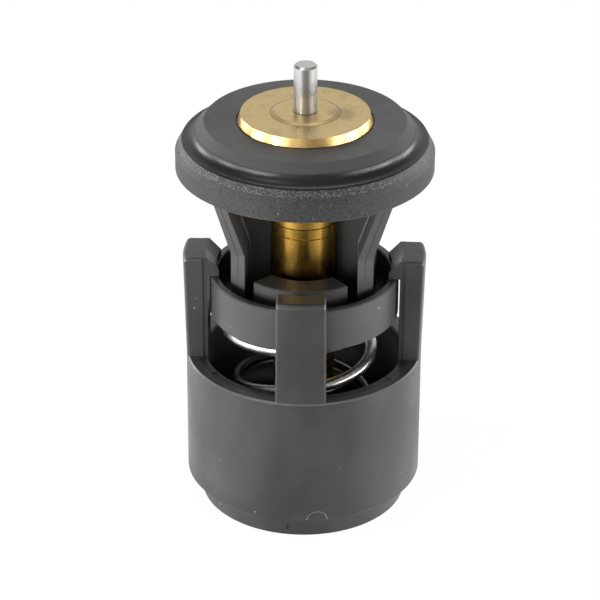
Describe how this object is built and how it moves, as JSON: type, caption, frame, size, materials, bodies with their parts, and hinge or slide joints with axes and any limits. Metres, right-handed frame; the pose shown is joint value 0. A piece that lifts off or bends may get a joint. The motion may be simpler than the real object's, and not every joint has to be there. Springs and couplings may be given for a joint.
{
  "type": "engine thermostat",
  "caption": "Engine thermostat insert: a sliding valve with a rubber-edged disc, brass wax element and steel pin, held up by a spring in a slotted plastic cage.",
  "frame": {"origin": "centre of the base spigot's lower face", "axes": "+Z along the pin's axis, from the base to the pin's tip; +X and +Y through two neighbouring posts"},
  "size_m": [0.044, 0.044, 0.0814],
  "materials": {
    "cage_plastic": "moulded black glass-filled plastic",
    "valve_plastic": "moulded black glass-filled plastic",
    "seal_rubber": "black rubber, glossy in the cove and speckled on the bevels",
    "guide_brass": "turned brass",
    "cup_brass": "drawn brass, golden",
    "pin_steel": "ground steel",
    "spring_steel": "drawn spring wire",
    "sleeve_rubber": "black rubber",
    "washer_plastic": "white sealing plastic",
    "wax": "wax with copper powder"
  },
  "bodies": {
    "cage_body": {"cage": "cage_plastic", "return_spring": "spring_steel"},
    "valve_body": {"valve_frame": "valve_plastic", "seal_ring": "seal_rubber", "element_guide": "guide_brass", "wax_cup": "cup_brass", "guard_washer": "washer_plastic", "rubber_sleeve": "sleeve_rubber", "wax_charge": "wax"},
    "piston_body": {"piston_pin": "pin_steel"}
  },
  "joints": [
    {"name": "valve_slide", "type": "slide", "parent": "cage_body", "child": "valve_body", "axis": [0, 0, -1], "range_m": [0, 0.008], "stiffness_N_per_m": 1300, "springref_m": -0.02, "deforming": ["return_spring"]},
    {"name": "piston_slide", "type": "slide", "parent": "valve_body", "child": "piston_body", "axis": [0, 0, 1], "range_m": [0, 0.008]}
  ],
  "couplings": [
    {"joint": "piston_slide", "follows": "valve_slide", "ratio": 1}
  ]
}
